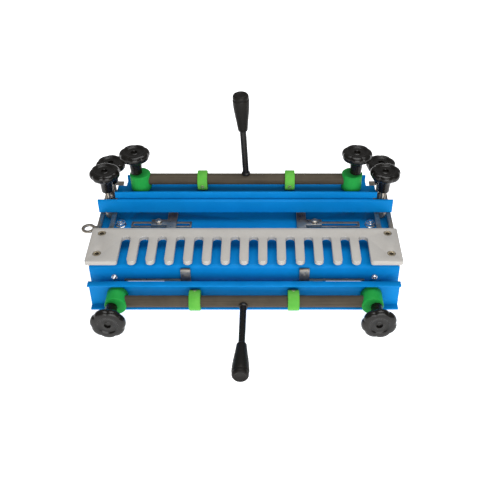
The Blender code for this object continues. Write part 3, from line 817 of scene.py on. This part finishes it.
class JIG_OT_springs(bpy.types.Operator):
    """Return springs round the clamp studs"""

    bl_idname = "jig.springs"
    bl_label = "Springs"

    def execute(self, context):
        wire = context.scene.jig_detail.spring_wire / MM
        for prefix, clamp in CLAMPS.items():
            for side, _ in SIDES:
                node = f"{prefix}_spring_{side}"
                low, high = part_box(node)
                stud_low, stud_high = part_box(f"{prefix}_stud_{side}")
                middle = (stud_low + stud_high) / 2
                origin, length = clamp_span(prefix, middle, low, high)
                bm = bmesh.new()
                coil(bm, SPRING_R, wire, SPRING_GAP, length - SPRING_GAP, SPRING_TURNS)
                placed(bm, origin, clamp["frame"])
                shade_round(bm)
                piece = publish(bm, node + "_shape", "zinc_steel", None, (node,), 60.0)
                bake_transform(piece)
        return {"FINISHED"}


class JIG_OT_stops(bpy.types.Operator):
    """Side stops on their slotted rails"""

    bl_idname = "jig.stops"
    bl_label = "Side stops"

    def execute(self, context):
        for prefix in CLAMPS:
            for side, _ in SIDES:
                softened(f"{prefix}_rail_{side}", "zinc_steel", 0.2 * MM)
                softened(f"{prefix}_stop_{side}", "zinc_steel", 0.3 * MM, 2, 1.7)
        return {"FINISHED"}


# ---------------------------------------------------------------- stage

def make_floor():
    bm = bmesh.new()
    bmesh.ops.create_grid(bm, x_segments=1, y_segments=1, size=FLOOR_REACH)
    mesh = bpy.data.meshes.new("floor")
    bm.to_mesh(mesh)
    bm.free()
    material = bpy.data.materials.new("floor_white")
    material.use_nodes = True
    shader = material.node_tree.nodes["Principled BSDF"]
    shader.inputs["Base Color"].default_value = (0.96, 0.96, 0.96, 1)
    shader.inputs["Roughness"].default_value = 0.9
    shader.inputs["Specular IOR Level"].default_value = 0.0
    shader.inputs["Emission Color"].default_value = (1, 1, 1, 1)
    shader.inputs["Emission Strength"].default_value = 0.80
    mesh.materials.append(material)
    floor = bpy.data.objects.new("floor", mesh)
    bpy.context.scene.collection.objects.link(floor)


def make_softbox(name, place, target, size, power):
    light = bpy.data.lights.new(name, "AREA")
    light.shape = "SQUARE"
    light.size = size
    light.energy = power
    lamp = bpy.data.objects.new(name, light)
    bpy.context.scene.collection.objects.link(lamp)
    lamp.location = place
    lamp.rotation_mode = "QUATERNION"
    lamp.rotation_quaternion = (Vector(target) - Vector(place)).to_track_quat("-Z", "Y")


class JIG_OT_stage(bpy.types.Operator):
    """Floor, light and camera"""

    bl_idname = "jig.stage"
    bl_label = "Stage"

    def execute(self, context):
        s = context.scene.jig_stage
        make_floor()
        world = bpy.data.worlds.new("room")
        world.use_nodes = True
        world.node_tree.nodes["Background"].inputs["Color"].default_value = (1, 1, 1, 1)
        world.node_tree.nodes["Background"].inputs["Strength"].default_value = s.sky
        context.scene.world = world
        make_softbox("key", (0.15, 0.15, 1.5), (0, 0.05, 0), 1.0, s.key)
        make_softbox("fill", (0.25, -1.7, 0.62), (0, 0, 0.05), 1.5, FILL_SHARE * s.key)
        context.scene.view_settings.view_transform = "Standard"
        camera = bpy.data.cameras.new("camera")
        camera.lens = s.lens
        camera.sensor_width = 36.0
        camera.shift_x = s.shift
        camera.clip_start, camera.clip_end = 0.05, 50
        holder = bpy.data.objects.new("camera", camera)
        context.scene.collection.objects.link(holder)
        low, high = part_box("template_comb")
        holder.location = Vector(((low.x + high.x) / 2, low.y, high.z)) + Vector(s.camera_place)
        holder.rotation_euler = (s.camera_pitch, 0, 0)
        context.scene.camera = holder
        return {"FINISHED"}


# ---------------------------------------------------------------- add-on

PIECES = (
    JIG_OT_base, JIG_OT_base_nuts, JIG_OT_face_screws, JIG_OT_template, JIG_OT_template_screws,
    JIG_OT_brackets, JIG_OT_bracket_studs, JIG_OT_knobs, JIG_OT_channels, JIG_OT_blocks,
    JIG_OT_cam_rods, JIG_OT_cams, JIG_OT_levers, JIG_OT_clamp_studs, JIG_OT_springs, JIG_OT_stops,
)


class JIG_PT_panel(bpy.types.Panel):
    """The jig's pieces, finishes and stage"""

    bl_idname = "JIG_PT_panel"
    bl_label = "Dovetail Jig"
    bl_space_type = "VIEW_3D"
    bl_region_type = "UI"
    bl_category = "Dovetail Jig"

    def draw(self, context):
        for operator in (JIG_OT_stage, *PIECES):
            self.layout.operator(operator.bl_idname)
        for settings in (context.scene.jig_finish, context.scene.jig_detail, context.scene.jig_stage):
            for name in settings.__annotations__:
                self.layout.prop(settings, name)


SETTINGS = (
    ("jig_finish", JigFinishSettings), ("jig_detail", JigDetailSettings), ("jig_stage", JigStageSettings),
)
CLASSES = (*(group for _, group in SETTINGS), *PIECES, JIG_OT_stage, JIG_PT_panel)


def register():
    for cls in CLASSES:
        bpy.utils.register_class(cls)
    for name, group in SETTINGS:
        setattr(bpy.types.Scene, name, PointerProperty(type=group))


def unregister():
    for name, _ in SETTINGS:
        delattr(bpy.types.Scene, name)
    for cls in reversed(CLASSES):
        bpy.utils.unregister_class(cls)


def main():
    register()
    bpy.ops.jig.stage()
    for piece in PIECES:
        getattr(bpy.ops.jig, piece.bl_idname.split(".")[1])()


if __name__ == "__main__":
    main()
